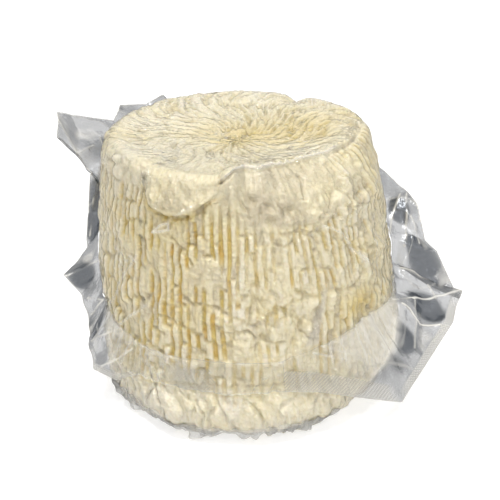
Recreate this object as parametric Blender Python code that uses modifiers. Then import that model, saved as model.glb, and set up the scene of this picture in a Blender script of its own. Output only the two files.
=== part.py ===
"""A basket-moulded ricotta round, vacuum packed in a clear bag, as one closed solid.

The body is a turned profile that is then pressed out of true, as the real cheese is. It
swells low on the right, is hollow low on the left, carries the ribs of the basket that it
drained in, and has a tongue of curd folded over the front of its rim. To the right of the
tongue the rim is worn round. The bag clings to it all over and shows only at its margin. There its two films meet along a seam, which
runs low across the front and high across the back, and stand out as one creased skirt.

Metres, +Z up. The origin is the centre of the flat foot, -Y is the front, +X the right.
Azimuths are degrees from the front, positive to the right.
"""

import math

import bmesh
import bpy
import numpy as np

# Driving dimensions of the round.
HEIGHT = 0.1265  # foot to the top of the rim
BELLY_RADIUS = 0.076  # widest, near the foot
BELLY_HEIGHT = 0.024
RIM_RADIUS = 0.0655
RIM_ROUNDING = 0.006
FOOT_ROUNDING = 0.015
DISH_DEPTH = 0.007  # how far the middle of the top sinks below the rim
TOP_LEAN = -0.0025  # the top's shift along X from the foot

# The draining basket's slots.
RIB_COUNT = 116
RIB_DEPTH = 0.0011
COLUMNS = 2 * RIB_COUNT  # a crest and a groove for each rib
RIBS_START, RIBS_FULL = 0.020, 0.042  # heights between which they fade in
TOP_RIBS_START, TOP_RIBS_FULL = 0.012, 0.042  # radii between which the top's fade in
TOP_RIB_SHARE = 0.40  # of the side's depth
SMEARED = (0.7, 14, 22, 0.110, 0.012)  # share lost, azimuth, its spread, height, its spread

# The round's section.
TOP_RING_SHARES = (0.35, 0.75)  # of the way from the middle to the rim
SIDE_LEVELS = (0.113, 0.107, 0.100, 0.083, 0.063, 0.043)
RIM_STEPS = 2
FOOT_STEPS = 3

# Where the round is out of true: (offset, azimuth, its spread, height, its spread).
LUMPS = (
    (-0.0070, -88, 38, 0.026, 0.042),
    (0.0030, 80, 40, 0.030, 0.022),
    (0.0080, -4, 40, 0.004, 0.024),
    (-0.0040, 62, 26, 0.000, 0.015),
    (-0.0030, -150, 30, 0.122, 0.014),
    (-0.0015, -90, 40, 0.085, 0.020),
)

# The tongue of curd that hangs over the rim, and the smooth hollow to its right.
TONGUE_AZIMUTH = -27
TONGUE_HALF_WIDTH = 12
TONGUE_TIP = 0.105
TONGUE_ROOT = 0.114
TONGUE_EDGE = 1.3  # half widths from its middle to the outside of its step
TONGUE_STEP = 0.6  # half widths across the step
TONGUE_START, TONGUE_FULL = 0.040, 0.060  # radii between which it fades in
TONGUE_LIFT = 0.0042
TONGUE_SAG = 0.0022  # how far the rim drops behind the tongue
HOLLOW = (-0.0015, 14, 22, 0.108, 0.012)

# The rim is worn rounder in front, to the right of the tongue.
SHOULDER_DROP = 0.0045
SHOULDER_AZIMUTH = 32
SHOULDER_SPREAD = 42
SHOULDER_INNER, SHOULDER_OUTER = 0.036, 0.062  # radii between which it fades in
SHOULDER_FLOOR, SHOULDER_TOP = 0.100, 0.122  # heights between which it fades in

# The bag's margin, by azimuth: the seam's height, then the cut edge's radius and height at
# each corner or dent of that edge, which runs straight between them. Where the margin is
# folded flat against the round, as along the seal in front, the radius is 0.
MARGIN = (
    (-158, 0.1115, 0.0, 0.1000),
    (-148, 0.1100, 0.0779, 0.1236),
    (-142, 0.1085, 0.0817, 0.1189),
    (-133, 0.1060, 0.0869, 0.1199),
    (-127, 0.1035, 0.0831, 0.1143),
    (-110, 0.0960, 0.0995, 0.1233),
    (-104, 0.0920, 0.0960, 0.1126),
    (-100, 0.0880, 0.0765, 0.0986),
    (-97, 0.0830, 0.0768, 0.0787),
    (-90, 0.0730, 0.0774, 0.0649),
    (-82, 0.0650, 0.0885, 0.0538),
    (-75, 0.0580, 0.0815, 0.0477),
    (-65, 0.0500, 0.0810, 0.0336),
    (-55, 0.0450, 0.0865, 0.0221),
    (-44, 0.0420, 0.0855, 0.0231),
    (-38, 0.0410, 0.0, 0.0265),
    (14, 0.0410, 0.0, 0.0265),
    (25, 0.0440, 0.0830, 0.0248),
    (35, 0.0465, 0.0879, 0.0204),
    (48, 0.0505, 0.0995, 0.0141),
    (75, 0.0500, 0.1069, 0.0360),
    (85, 0.0600, 0.1087, 0.0408),
    (87, 0.0720, 0.0975, 0.0643),
    (90, 0.0750, 0.0919, 0.0681),
    (97, 0.0800, 0.0897, 0.0825),
    (104, 0.0850, 0.0855, 0.0872),
    (118, 0.0940, 0.0845, 0.0896),
    (140, 0.1040, 0.0880, 0.1010),
    (152, 0.1090, 0.0, 0.0980),
)
MARGIN_THICKNESS = 0.0014
MARGIN_STEP = 6  # degrees between the skirt's columns, at most
MARGIN_ROOT = 0.004  # how deep the skirt starts inside the round
COLLAR = 0.0012  # how far it stands out at the seam
SKIRT_SAG = 0.06  # of its width, at mid width


def bell(distance, width):
    """1 in the middle, falling away over about one width."""
    return math.exp(-((distance / width) ** 2))


def between(value, start, end):
    """0 at start, 1 at end and beyond, with soft ends."""
    share = min(1.0, max(0.0, (value - start) / (end - start)))
    return share * share * (3 - 2 * share)


def turned(azimuth, centre):
    """The signed angle from centre to azimuth, in degrees."""
    return (azimuth - centre + 180) % 360 - 180


def lump(azimuth, height, offset, centre, spread, level, level_spread):
    return offset * bell(turned(azimuth, centre), spread) * bell(height - level, level_spread)


def arc(centre, radius, first, last, steps):
    """Points (radius, height) on an arc, without its first point. Angles from +radius."""
    angles = [math.radians(first + (last - first) * i / steps) for i in range(1, steps + 1)]
    return [(centre[0] + radius * math.cos(a), centre[1] + radius * math.sin(a)) for a in angles]


def turned_profile():
    """Half the round's section, (radius, height), from the middle of the top, over the rim
    and down the side to the middle of the foot."""
    rim_start = RIM_RADIUS - RIM_ROUNDING
    points = [(0.0, HEIGHT - DISH_DEPTH)]
    points += [(rim_start * s, HEIGHT - DISH_DEPTH * (1 - s * s)) for s in TOP_RING_SHARES]
    points.append((rim_start, HEIGHT))
    points += arc((rim_start, HEIGHT - RIM_ROUNDING), RIM_ROUNDING, 90, 5, RIM_STEPS)
    points += [(side_radius(level), level) for level in SIDE_LEVELS]
    points.append((BELLY_RADIUS, BELLY_HEIGHT))
    foot = (BELLY_RADIUS - FOOT_ROUNDING, FOOT_ROUNDING)
    points += arc(foot, FOOT_ROUNDING, 0, -90, FOOT_STEPS)
    points.append((0.0, 0.0))
    return points


def side_radius(height):
    """The profile's radius at a height, a quarter sine from the rim out to the belly."""
    top = HEIGHT - RIM_ROUNDING
    down = (top - height) / (top - BELLY_HEIGHT)
    if down < 1:
        return RIM_RADIUS + (BELLY_RADIUS - RIM_RADIUS) * math.sin(max(0, down) * math.pi / 2)
    if height > FOOT_ROUNDING:
        return BELLY_RADIUS
    below = FOOT_ROUNDING - max(0.0, height)
    return BELLY_RADIUS - FOOT_ROUNDING + math.sqrt(FOOT_ROUNDING**2 - below**2)


def out_of_true(azimuth, height):
    """How far the side stands out of the turned shape, ribs left out."""
    return sum(lump(azimuth, height, *one) for one in LUMPS)


def in_tongue(azimuth, height):
    """1 on the tongue and 0 off it, with a steep step round its rounded tip."""
    across = turned(azimuth, TONGUE_AZIMUTH) / TONGUE_HALF_WIDTH
    down = max(0.0, TONGUE_ROOT - height) / (TONGUE_ROOT - TONGUE_TIP)
    return between(math.hypot(across, down), TONGUE_EDGE, TONGUE_EDGE - TONGUE_STEP)


def in_shoulder(azimuth, radius, height):
    """1 at the middle of the worn stretch of rim, fading inwards, down and to both sides."""
    from_middle = between(radius, SHOULDER_INNER, SHOULDER_OUTER)
    from_side = between(height, SHOULDER_FLOOR, SHOULDER_TOP)
    return from_middle * from_side * bell(turned(azimuth, SHOULDER_AZIMUTH), SHOULDER_SPREAD)


def rib_share(azimuth, radius, height):
    """How clearly the ribs show: fully on the side, faintly on the top, and not at all on
    the foot, on the tongue or under the seal."""
    if on_top(radius, height):
        return TOP_RIB_SHARE * between(radius, TOP_RIBS_START, TOP_RIBS_FULL)
    clear = (1 - in_tongue(azimuth, height)) * (1 - lump(azimuth, height, *SMEARED))
    return clear * between(height, RIBS_START, RIBS_FULL)


def on_top(radius, height):
    return radius < RIM_RADIUS - RIM_ROUNDING / 2 and height > HEIGHT / 2


def press_into_basket(mesh):
    """Moves the turned mesh's points to the shape that the basket and the bag gave it."""
    for vertex in mesh.vertices:
        x, y, z = vertex.co
        radius = math.hypot(x, y)
        if radius < 1e-6:
            continue
        azimuth = math.degrees(math.atan2(x, -y))
        outwards = min(1.0, radius / BELLY_RADIUS) ** 3
        tongue = in_tongue(azimuth, z) * between(radius, TONGUE_START, TONGUE_FULL)
        rib = 0.5 * RIB_DEPTH * math.cos(math.radians(RIB_COUNT * azimuth))
        rib *= rib_share(azimuth, radius, z)
        grown = radius + outwards * (out_of_true(azimuth, z) + lump(azimuth, z, *HOLLOW))
        if on_top(radius, z):
            z += rib
        else:
            grown += rib + TONGUE_LIFT * tongue
        worn = SHOULDER_DROP * in_shoulder(azimuth, radius, z)
        grown -= worn / 2
        z -= worn + (TONGUE_SAG * tongue if z > TONGUE_ROOT else 0.0)
        x, y = x * grown / radius, y * grown / radius
        vertex.co = (x + TOP_LEAN * z / HEIGHT, y, z)


def turned_body():
    """The round as a mesh object: the profile turned by a Screw modifier, then pressed."""
    outline = bpy.data.meshes.new("round_profile")
    points = [(radius, 0.0, height) for radius, height in turned_profile()]
    outline.from_pydata(points, [(i, i + 1) for i in range(len(points) - 1)], [])
    lathe = bpy.data.objects.new("round_lathe", outline)
    bpy.context.scene.collection.objects.link(lathe)
    screw = lathe.modifiers.new("turn", "SCREW")
    screw.steps = screw.render_steps = COLUMNS
    screw.use_merge_vertices = True
    screw.merge_threshold = 0.00001
    graph = bpy.context.evaluated_depsgraph_get()
    mesh = bpy.data.meshes.new_from_object(lathe.evaluated_get(graph))
    bpy.data.objects.remove(lathe)
    mesh.name = "sealed_bag"
    press_into_basket(mesh)
    return bpy.data.objects.new("sealed_bag", mesh)


def margin_stations():
    """The seam's azimuth and height and the cut edge's point for each of the skirt's columns.
    The cut edge is straight from one row of MARGIN to the next, the last to the first."""
    rows = MARGIN + ((MARGIN[0][0] + 360,) + MARGIN[0][1:],)
    for first, second in zip(rows, rows[1:]):
        steps = max(1, math.ceil((second[0] - first[0]) / MARGIN_STEP))
        ends = cut_corner(*first), cut_corner(*second)
        for share in (step / steps for step in range(steps)):
            azimuth = first[0] + share * (second[0] - first[0])
            seam = first[1] + share * (second[1] - first[1])
            yield azimuth, seam, ends[0] + share * (ends[1] - ends[0])


def cut_corner(azimuth, _seam, radius, height):
    return on_body(azimuth, height, max(COLLAR, radius - body_radius(azimuth, height)))


def body_radius(azimuth, height):
    return side_radius(height) + out_of_true(azimuth, height)


def on_body(azimuth, height, stand_out):
    """The point that stands this far out of the round at an azimuth and a height."""
    radius = body_radius(azimuth, height) + stand_out
    angle = math.radians(azimuth)
    lean = TOP_LEAN * height / HEIGHT
    return np.array([radius * math.sin(angle) + lean, -radius * math.cos(angle), height])


def around_body(point):
    """A point's azimuth, its height and how far it stands out of the round."""
    x, y, height = point
    x -= TOP_LEAN * height / HEIGHT
    azimuth = math.degrees(math.atan2(x, -y))
    return azimuth, height, math.hypot(x, y) - body_radius(azimuth, height)


def upper_side(azimuth, seam, cut_edge):
    """The skirt's upper side at one azimuth: three points, out from the seam."""
    collar = on_body(azimuth, seam, COLLAR)
    middle = (collar + cut_edge) / 2
    middle[2] -= SKIRT_SAG * np.linalg.norm(cut_edge - collar)
    clear = [collar]
    for point in (middle, cut_edge):
        at, height, stand_out = around_body(point)
        clear.append(on_body(at, height, max(COLLAR, stand_out)))
    return clear


def lower_side(upper):
    """The skirt's lower side, a film's thickness behind the upper one. Where the skirt lies
    on the round, and along the seam, it is sunk into the round."""
    out = np.gradient(upper, axis=1)
    around = np.roll(upper, -1, axis=0) - np.roll(upper, 1, axis=0)
    normals = np.cross(out, around)
    normals /= np.linalg.norm(normals, axis=2, keepdims=True)
    lower = upper - MARGIN_THICKNESS * normals
    lower[:, 0, 2] = upper[:, 0, 2] - MARGIN_ROOT
    for point in lower.reshape(-1, 3):
        at, height, stand_out = around_body(point)
        if stand_out < COLLAR:
            point[:] = on_body(at, height, -MARGIN_ROOT)
    return lower


def bag_margin():
    """The free margin of the bag as a closed ring: a loft through the skirt's sections."""
    stations = list(margin_stations())
    upper = np.array([upper_side(*station) for station in stations])
    roots = np.array([[on_body(at, seam, -MARGIN_ROOT)] for at, seam, _ in stations])
    sections = np.concatenate([roots, upper, lower_side(upper)[:, ::-1]], axis=1)
    ring = bmesh.new()
    columns = [[ring.verts.new(point) for point in section] for section in sections]
    for here, there in zip(columns, columns[1:] + columns[:1]):
        for j in range(len(here)):
            ring.faces.new((here[j - 1], here[j], there[j], there[j - 1]))
    bmesh.ops.recalc_face_normals(ring, faces=ring.faces)
    bmesh.ops.triangulate(ring, faces=ring.faces)
    mesh = bpy.data.meshes.new("bag_margin")
    ring.to_mesh(mesh)
    ring.free()
    return bpy.data.objects.new("bag_margin", mesh)


def curd_under_film():
    """Cream-coloured curd as it shows through the clear, slightly glossy film."""
    material = bpy.data.materials.new("ricotta")
    material.use_nodes = True
    shader = material.node_tree.nodes["Principled BSDF"]
    shader.inputs["Base Color"].default_value = (0.76, 0.68, 0.46, 1)
    shader.inputs["Roughness"].default_value = 0.35
    shader.inputs["Metallic"].default_value = 0.0
    return material


def collection(name):
    made = bpy.data.collections.new(name)
    bpy.context.scene.collection.children.link(made)
    return made


def main():
    for thing in list(bpy.data.objects):
        bpy.data.objects.remove(thing)
    body, margin = turned_body(), bag_margin()
    collection("moulded_ricotta_round").objects.link(body)
    collection("helpers").objects.link(margin)
    margin.hide_render = True
    margin.display_type = "WIRE"
    body.modifiers.new("flat_faces", "TRIANGULATE")
    joined = body.modifiers.new("margin", "BOOLEAN")
    joined.operation = "UNION"
    joined.object = margin
    tidied = body.modifiers.new("weld", "WELD")
    tidied.merge_threshold = 0.00002
    body.data.materials.append(curd_under_film())
    body.data.shade_smooth()
    body.data.set_sharp_from_angle(angle=math.radians(60))


main()
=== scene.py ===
"""A basket-moulded ricotta round in its clear vacuum bag, dressed around the bag's solid.

The curd is one turned grid, pressed out of true, ribbed by its basket, cracked, and folded
over at the rim. The bag is a second skin that clings to it, and a margin of two films that
stands out along the seam. Metres, +Z up, -Y to the front. Azimuths are degrees from the
front, positive to the right, and a turn is an azimuth over 360. The longer tables are
written in millimetres and turned into metres.
"""

import math

import bpy
import numpy as np
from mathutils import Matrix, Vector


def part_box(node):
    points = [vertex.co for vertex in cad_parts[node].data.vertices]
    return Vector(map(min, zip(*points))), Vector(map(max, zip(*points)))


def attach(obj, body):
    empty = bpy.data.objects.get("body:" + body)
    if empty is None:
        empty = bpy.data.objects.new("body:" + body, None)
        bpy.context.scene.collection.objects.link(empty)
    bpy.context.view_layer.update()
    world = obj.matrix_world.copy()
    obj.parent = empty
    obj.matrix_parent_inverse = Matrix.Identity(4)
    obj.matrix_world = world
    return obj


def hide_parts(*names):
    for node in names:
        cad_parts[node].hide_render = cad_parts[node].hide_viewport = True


bl_info = {
    "name": "Ricotta round in a vacuum bag",
    "version": (1, 0, 0),
    "blender": (4, 5, 0),
    "location": "View3D > Sidebar > Ricotta",
    "description": "Makes a basket-moulded ricotta round and the clear bag around it",
    "category": "Add Mesh",
}

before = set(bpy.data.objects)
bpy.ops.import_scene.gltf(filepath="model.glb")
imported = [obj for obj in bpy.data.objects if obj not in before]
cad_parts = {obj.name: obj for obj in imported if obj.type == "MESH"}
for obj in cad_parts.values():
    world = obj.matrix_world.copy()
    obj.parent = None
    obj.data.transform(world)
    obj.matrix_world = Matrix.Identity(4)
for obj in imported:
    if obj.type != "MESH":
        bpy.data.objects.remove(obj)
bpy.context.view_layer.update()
SOLID = "sealed_bag"
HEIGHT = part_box(SOLID)[1][2]

COLUMNS = 576  # of the turned grid
FRONT_DENSITY = 0.42  # how much closer the columns stand in front than on average
RIBS = 116  # all the way round
SIDE_RADIUS = 0.0735  # turns azimuths on the side into distances
SIDE_RUN = 0.075  # any run past the rim's
TOP_RUN = 0.0341  # run from which the rings have all their columns
LATTICE = np.random.default_rng(11).uniform(-1, 1, (32, 32, 32))  # behind every grain


def metres(table, *columns):
    """A table's rows, with these columns turned from millimetres into metres."""
    return [[v / 1000 if k in columns else v for k, v in enumerate(row)] for row in table]


# Where the round is out of true: (offset, azimuth, spread, height, spread).
LUMPS = metres((
    (-7, -88, 38, 26, 42), (3, 80, 40, 30, 22), (8, -4, 40, 4, 24), (-4, 62, 26, 0, 15),
    (-3, -150, 30, 122, 14), (-1.5, -90, 40, 85, 20), (-1.5, 14, 22, 108, 12), (-4.6, -108, 30, 127, 9),
    (-3, 88, 16, 121, 8),
), 0, 3, 4)
# Smaller swellings and hollows of the curd, in front and to the right.
KNOBS = metres((
    (2.2, 30, 5, 112, 7), (1.6, 37, 4, 106, 8), (-1.6, 23, 3, 108, 8), (-1.4, 41, 3, 112, 9),
    (1.4, 45, 5, 98, 7), (1.6, 58, 6, 70, 8), (1.2, 12, 5, 74, 5), (1.2, -13, 5, 82, 7),
    (1.4, 18, 6, 56, 6), (1.2, -5, 6, 60, 6), (-1.2, 3, 5, 54, 5), (1.4, -24, 8, 14, 8),
    (1.2, 10, 9, 12, 8), (1.3, -3, 3, 117.5, 2.5), (1.3, 3, 3, 116, 3), (1.1, 9, 3, 114.5, 3),
    (-1.6, 39, 7, 120.5, 2.2), (1.2, 33, 4, 117.5, 3),
), 0, 3, 4)


# ---- numbers


def ease(share):
    """3s^2 - 2s^3 with s held between 0 and 1: a soft step."""
    share = np.clip(share, 0, 1)
    return share * share * (3 - 2 * share)


def bell(distance, width):
    """exp(-(d/w)^2): 1 in the middle, gone after about two widths."""
    return np.exp(-((distance / width) ** 2))


def window(value, low, rise, high, fall):
    """1 from low + rise to high - fall, with a soft step at each end."""
    return ease((value - low) / rise) * ease((high - value) / fall)


def ridged(field, gain, middle):
    """min(1, g |f|) - m: a plateau with sharp valleys along a random field's zero lines."""
    return np.minimum(1, gain * np.abs(field)) - middle


def away(azimuth, centre):
    """The signed angle from centre to azimuth, in degrees."""
    return (azimuth - centre + 180) % 360 - 180


def spot(azimuths, levels, azimuth, spread, level, level_spread):
    """A bell in azimuth times one in level."""
    return bell(away(azimuths, azimuth), spread) * bell(levels - level, level_spread)


def grain(points, cell, seed=0):
    """Smooth random values from -1 to 1 in space, on a lattice with this cell size."""
    at = points / np.asarray(cell) + 5.37 * seed
    low = np.floor(at).astype(int)
    share = ease(at - low)
    total = np.zeros(len(points))
    for corner in np.ndindex(2, 2, 2):
        weight = np.prod(np.where(corner, share, 1 - share), axis=1)
        x, y, z = ((low + corner) % 32).T
        total += weight * LATTICE[x, y, z]
    return total


def weave(turn, rise, around, seed):
    """Smooth random values from -1 to 1 on an unrolled side. The lattice has a whole number
    of cells around, so it closes behind, and one cell for each unit of rise."""
    table = np.random.default_rng(seed).uniform(-1, 1, (around, 128))
    x, y = turn * around, np.asarray(rise, float)
    i, j = np.floor(x).astype(int), np.floor(y).astype(int)
    u, v = ease(x - i), ease(y - j)
    low, high = (table[i % around, k % 128] * (1 - u) + table[(i + 1) % around, k % 128] * u for k in (j, j + 1))
    return low * (1 - v) + high * v


def grid_quads(columns, rows):
    """The quads of a grid whose points are counted column by column."""
    i, j = np.indices((columns - 1, rows - 1)).reshape(2, -1)
    corner = i * rows + j
    return np.stack([corner, corner + 1, corner + rows + 1, corner + rows], axis=1)


def near_line(across, up, line):
    """The least distance from each point to a line of straight runs, in the same unit."""
    least = np.full(len(across), 1e9)
    for (x0, y0), (x1, y1) in zip(line, line[1:]):
        run = (x1 - x0) ** 2 + (y1 - y0) ** 2
        share = np.clip(((across - x0) * (x1 - x0) + (up - y0) * (y1 - y0)) / run, 0, 1)
        least = np.minimum(least, np.hypot(across - x0 - share * (x1 - x0), up - y0 - share * (y1 - y0)))
    return least


def unrolled(line, radius=SIDE_RADIUS):
    """A line of (azimuth, level) corners with its azimuths turned into distances."""
    return [(math.radians(azimuth) * radius, level) for azimuth, level in line]


# ---- the round's grid


class Skin:
    """Places on the plain turned shape: each one's azimuth, its radius and height, the
    outward direction there, and its run, which is the way along the profile from the top's
    middle. On the side a place's level is its height, and over the rim the level grows by
    what the run lacks."""

    def __init__(self, sizes, azimuth, radius, height, out, up, run, rim_run):
        self.azimuth, self.radius, self.height, self.out, self.up = azimuth, radius, height, out, up
        self.run = run
        rim_foot = sizes.height - sizes.rim_rounding
        self.level = np.where(run > rim_run, height, rim_foot + rim_run - run)
        self.front = away(azimuth, 0)
        self.turn = azimuth / 360
        self.across = np.radians(self.front) * SIDE_RADIUS
        self.x = radius * np.sin(np.radians(azimuth))
        self.y = -radius * np.cos(np.radians(azimuth))
        self.space = np.column_stack([self.x, self.y, height])
        self.past_edge = np.where(height > sizes.height / 2, run - skin_edge(self.front), 0.1)
        self.on_top = 1 - ease(self.past_edge / 0.0025 + 0.5)
        self.beside = 1 - self.on_top

    def grain(self, cell, seed):
        return grain(self.space, cell, seed)

    def weave(self, rise, around, seed):
        return weave(self.turn, self.level / rise, around, seed)

    def spot(self, *place):
        return spot(self.azimuth, self.level, *place)

    def window(self, *azimuths):
        return window(self.front, *azimuths)

    def above(self, level, rise):
        return ease((self.level - level) / rise)

    def below(self, level, fall):
        return ease((level - self.level) / fall)


def turned_skin(sizes):
    """The whole turned grid, and the number of columns in each of its rings. One ring
    follows the edge of the top's skin and tongue, so that the edge can be sharp."""
    run, radius, height, out, up = profile(sizes)
    rim_run = run[height > sizes.height - sizes.rim_rounding].max()
    azimuths = column_azimuths()
    edge = edge_run(sizes, away(azimuths, 0), rim_run)
    low = run[np.argmax(height < 0.016)]
    rings = [(np.zeros(1), 1)]
    rings += [(np.full(COLUMNS // 4, r), COLUMNS // 4) for r in np.linspace(0.0012, 0.016, 13)]
    rings += [(np.full(COLUMNS // 2, r), COLUMNS // 2) for r in np.linspace(0.0172, 0.033, 13)]
    rings += [(TOP_RUN + (edge - TOP_RUN) * share, COLUMNS) for share in 1 - (1 - np.linspace(0, 1, 29)) ** 1.4]
    beyond = np.linspace(0, 1, 126)[1:]
    rings += [(edge + (low - edge) * (0.88 * share + 0.12 * share**2), COLUMNS) for share in beyond]
    rings += [(np.full(COLUMNS, r), COLUMNS) for r in np.linspace(low, run[-1] - 0.055, 9)[1:]]
    rings += [(np.full(COLUMNS // 4, run[-1] - r), COLUMNS // 4) for r in (0.045, 0.025)] + [(run[-1:], 1)]
    counts = [count for _, count in rings]
    azimuth = np.concatenate([azimuths[:: COLUMNS // n] if n > 1 else [0.0] for n in counts])
    at = np.concatenate([ring for ring, _ in rings])
    rows = [np.interp(at, run, row) for row in (radius, height, out, up)]
    return Skin(sizes, azimuth, *rows, at, rim_run), counts


def edge_run(sizes, front, rim_run):
    """The run of the edge of the top's skin, round its tongue too."""
    tongue = [(azimuth, rim_run + sizes.height - sizes.rim_rounding - level) for azimuth, level in TONGUE]
    right = [(azimuth, run) for azimuth, run in SKIN_EDGE if azimuth > TONGUE[-1][0]]
    azimuths, runs = zip((-180, 0.064), (-44, 0.065), *tongue, *right)
    return np.interp(front, azimuths, runs)


def side_skin(sizes, azimuth, height):
    """Places on the side, by azimuth and height."""
    top = sizes.height - sizes.rim_rounding
    return Skin(sizes, azimuth, side_radius(sizes, height), height, 1.0, 0.0, SIDE_RUN + top - height, SIDE_RUN)


def column_azimuths():
    """Azimuths a = 360 (t - d sin(2 pi t) / 2 pi), t even from 0 to 1: closest in front."""
    step = np.arange(COLUMNS) / COLUMNS
    return 360 * (step - FRONT_DENSITY * np.sin(2 * np.pi * step) / (2 * np.pi))


def side_radius(sizes, height):
    """A quarter sine from the rim out to the belly, upright below it, then the foot's arc."""
    top = sizes.height - sizes.rim_rounding
    down = np.clip((top - height) / (top - sizes.belly_height), 0, 1)
    below = np.clip(sizes.foot_rounding - height, 0, sizes.foot_rounding)
    inwards = sizes.foot_rounding - np.sqrt(sizes.foot_rounding**2 - below**2)
    return sizes.rim_radius + (sizes.belly_radius - sizes.rim_radius) * np.sin(down * np.pi / 2) - inwards


def profile(sizes):
    """The turned profile from the top's middle to the foot's as fine rows: the run, radius,
    height and outward direction, which is the run's turned left."""
    start = sizes.rim_radius - sizes.rim_rounding
    top, foot = sizes.height - sizes.rim_rounding, sizes.belly_radius - sizes.foot_rounding
    across = np.linspace(0, start, 120)
    rim, heel = np.radians(np.linspace(88, 2, 30)), np.radians(np.linspace(-2, -90, 30))
    down = np.linspace(top, sizes.foot_rounding, 300)
    inwards = np.linspace(foot, 0, 30)[1:]
    parts = (
        (across, sizes.height - sizes.dish_depth * (1 - (across / start) ** 2)),
        (start + sizes.rim_rounding * np.cos(rim), top + sizes.rim_rounding * np.sin(rim)),
        (side_radius(sizes, down), down),
        (foot + sizes.foot_rounding * np.cos(heel), sizes.foot_rounding * (1 + np.sin(heel))),
        (inwards, 0 * inwards),
    )
    radius, height = (np.concatenate(rows) for rows in zip(*parts))
    run = np.concatenate([[0], np.cumsum(np.hypot(np.diff(radius), np.diff(height)))])
    return run, radius, height, -np.gradient(height, run), np.gradient(radius, run)


def ring_faces(counts):
    """Triangles between the rings of a turned grid whose neighbours have equal numbers of
    columns, a whole multiple of them, or a single point."""
    faces, start = [], 0
    for first, second in zip(counts, counts[1:]):
        below = start + first
        i = np.arange(max(first, second))
        upper, upper_next = (start + (k * first // len(i)) % first for k in (i, i + 1))
        lower, lower_next = (below + (k * second // len(i)) % second for k in (i, i + 1))
        one = np.stack([upper, lower, lower_next], axis=1)
        two = np.stack([upper, lower_next, upper_next], axis=1)
        faces += [one[one[:, 1] != one[:, 2]], two[two[:, 0] != two[:, 2]]]
        start = below
    return np.concatenate(faces)


# ---- the curd's shape


# Where the wrinkled skin of the top ends, as (azimuth, run): in front on the right it is
# folded down well inside the rim.
SKIN_EDGE = metres((
    (-180, 64), (-14, 66), (-8, 65.5), (-3.4, 63.5), (-1, 59), (3.4, 52.8), (10, 54.5), (13.5, 52),
    (17, 49.8), (28, 48.2), (42, 48.8), (52, 50), (63, 52.6), (72, 55.6), (80, 56.6), (88, 58.3), (105, 64),
    (180, 64),
), 1)
TONGUE_SAG = 0.0022  # how far the rim sinks at the tongue
NOTCH_DEPTH = 0.003  # how far it sinks at its notch behind
FACE_FOOT = 0.1  # height at which the sloping face outside that edge meets the side
FACE_SLOPE = 0.58  # how steeply it starts


def skin_edge(front):
    """The run at which the top's skin ends, the tongue left out."""
    return np.interp(front, *zip(*SKIN_EDGE))


# The tongue's outline: (azimuth, level).
TONGUE = metres((
    (-40, 122.5), (-38.5, 117.5), (-37, 113), (-35, 109.2), (-31, 106.6), (-27, 105.9), (-23, 106.2),
    (-18, 108.4), (-14.5, 111.5), (-12, 115.2), (-9.5, 119), (-6.5, 123),
), 1)
TONGUE_RADIUS = 0.069  # turns azimuths on it into distances


def tongue_depth(skin):
    """How far inside the tongue's outline each point lies, in metres, negative outside."""
    near = near_line(np.radians(skin.front) * TONGUE_RADIUS, skin.level, unrolled(TONGUE, TONGUE_RADIUS))
    edge = np.interp(skin.front, *zip(*TONGUE), left=1, right=1)
    return near * np.where(skin.level > edge, 1, -1)


def pressed(skin, sizes):
    """The radius, height and outward direction of each point once the basket and the bag
    have pressed the plain profile: the sloping face in front on the right, then
    r + (r/R)^3 times the sum of the lumps, with the rim lower at the tongue and at its
    notch behind."""
    radius, height, out, up = sloped(skin, sizes)
    outwards = np.minimum(1, radius / sizes.belly_radius) ** 3
    for offset, *place in LUMPS + KNOBS:
        radius = radius + outwards * offset * spot(skin.azimuth, skin.height, *place)
    tongue = skin.window(-44, 8, -2, 8) * ease((skin.run - 0.036) / 0.02)
    sag = TONGUE_SAG * tongue * ease((skin.height - 0.112) / 0.006)
    notch = bell(away(skin.azimuth, 151), 5) * ease((skin.run - 0.048) / 0.01)
    sag = sag + NOTCH_DEPTH * notch * (skin.height > 0.11)
    return radius, height - sag, out, up


def sloped(skin, sizes):
    """The profile with its rim replaced, in front on the right, by a quadratic Bezier curve
    from the skin's edge to the side, (1-t)^2 E + 2t(1-t) C + t^2 S: t is the share of the
    way along the run, and C stands over S where the first slope from E comes down to it."""
    run, radii, heights, _, _ = profile(sizes)
    edge = skin_edge(skin.front)
    foot = run[np.argmax((run > sizes.rim_radius) & (heights < FACE_FOOT))]
    t = np.clip(skin.past_edge / (foot - edge), 0, 1)
    first = np.interp(edge, run, radii), np.interp(edge, run, heights)
    last = np.interp(foot, run, radii), FACE_FOOT
    bend = last[0], first[1] - FACE_SLOPE * (last[0] - first[0])
    radius, height = ((1 - t) ** 2 * a + 2 * t * (1 - t) * c + t * t * b for a, c, b in zip(first, bend, last))
    outwards, upwards = (2 * (1 - t) * (c - a) + 2 * t * (b - c) for a, c, b in zip(first, bend, last))
    length = np.hypot(outwards, upwards)
    share = skin.window(-8, 12, 100, 36) * ((t > 0) & (t < 1))
    rows = (skin.radius, skin.height, skin.out, skin.up)
    slope = (radius, height, -upwards / length, outwards / length)
    return tuple(plain + share * (bent - plain) for plain, bent in zip(rows, slope))


def stepped(table, index, level, softness):
    """Values from a table by rib and level, which change within a softness of each level."""
    low = np.floor(level - 0.5).astype(int)
    share = ease((level - 1 - low) / softness + 0.5)
    rib, wide = index % len(table), table.shape[1]
    return table[rib, low % wide] * (1 - share) + table[rib, (low + 1) % wide] * share


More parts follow.
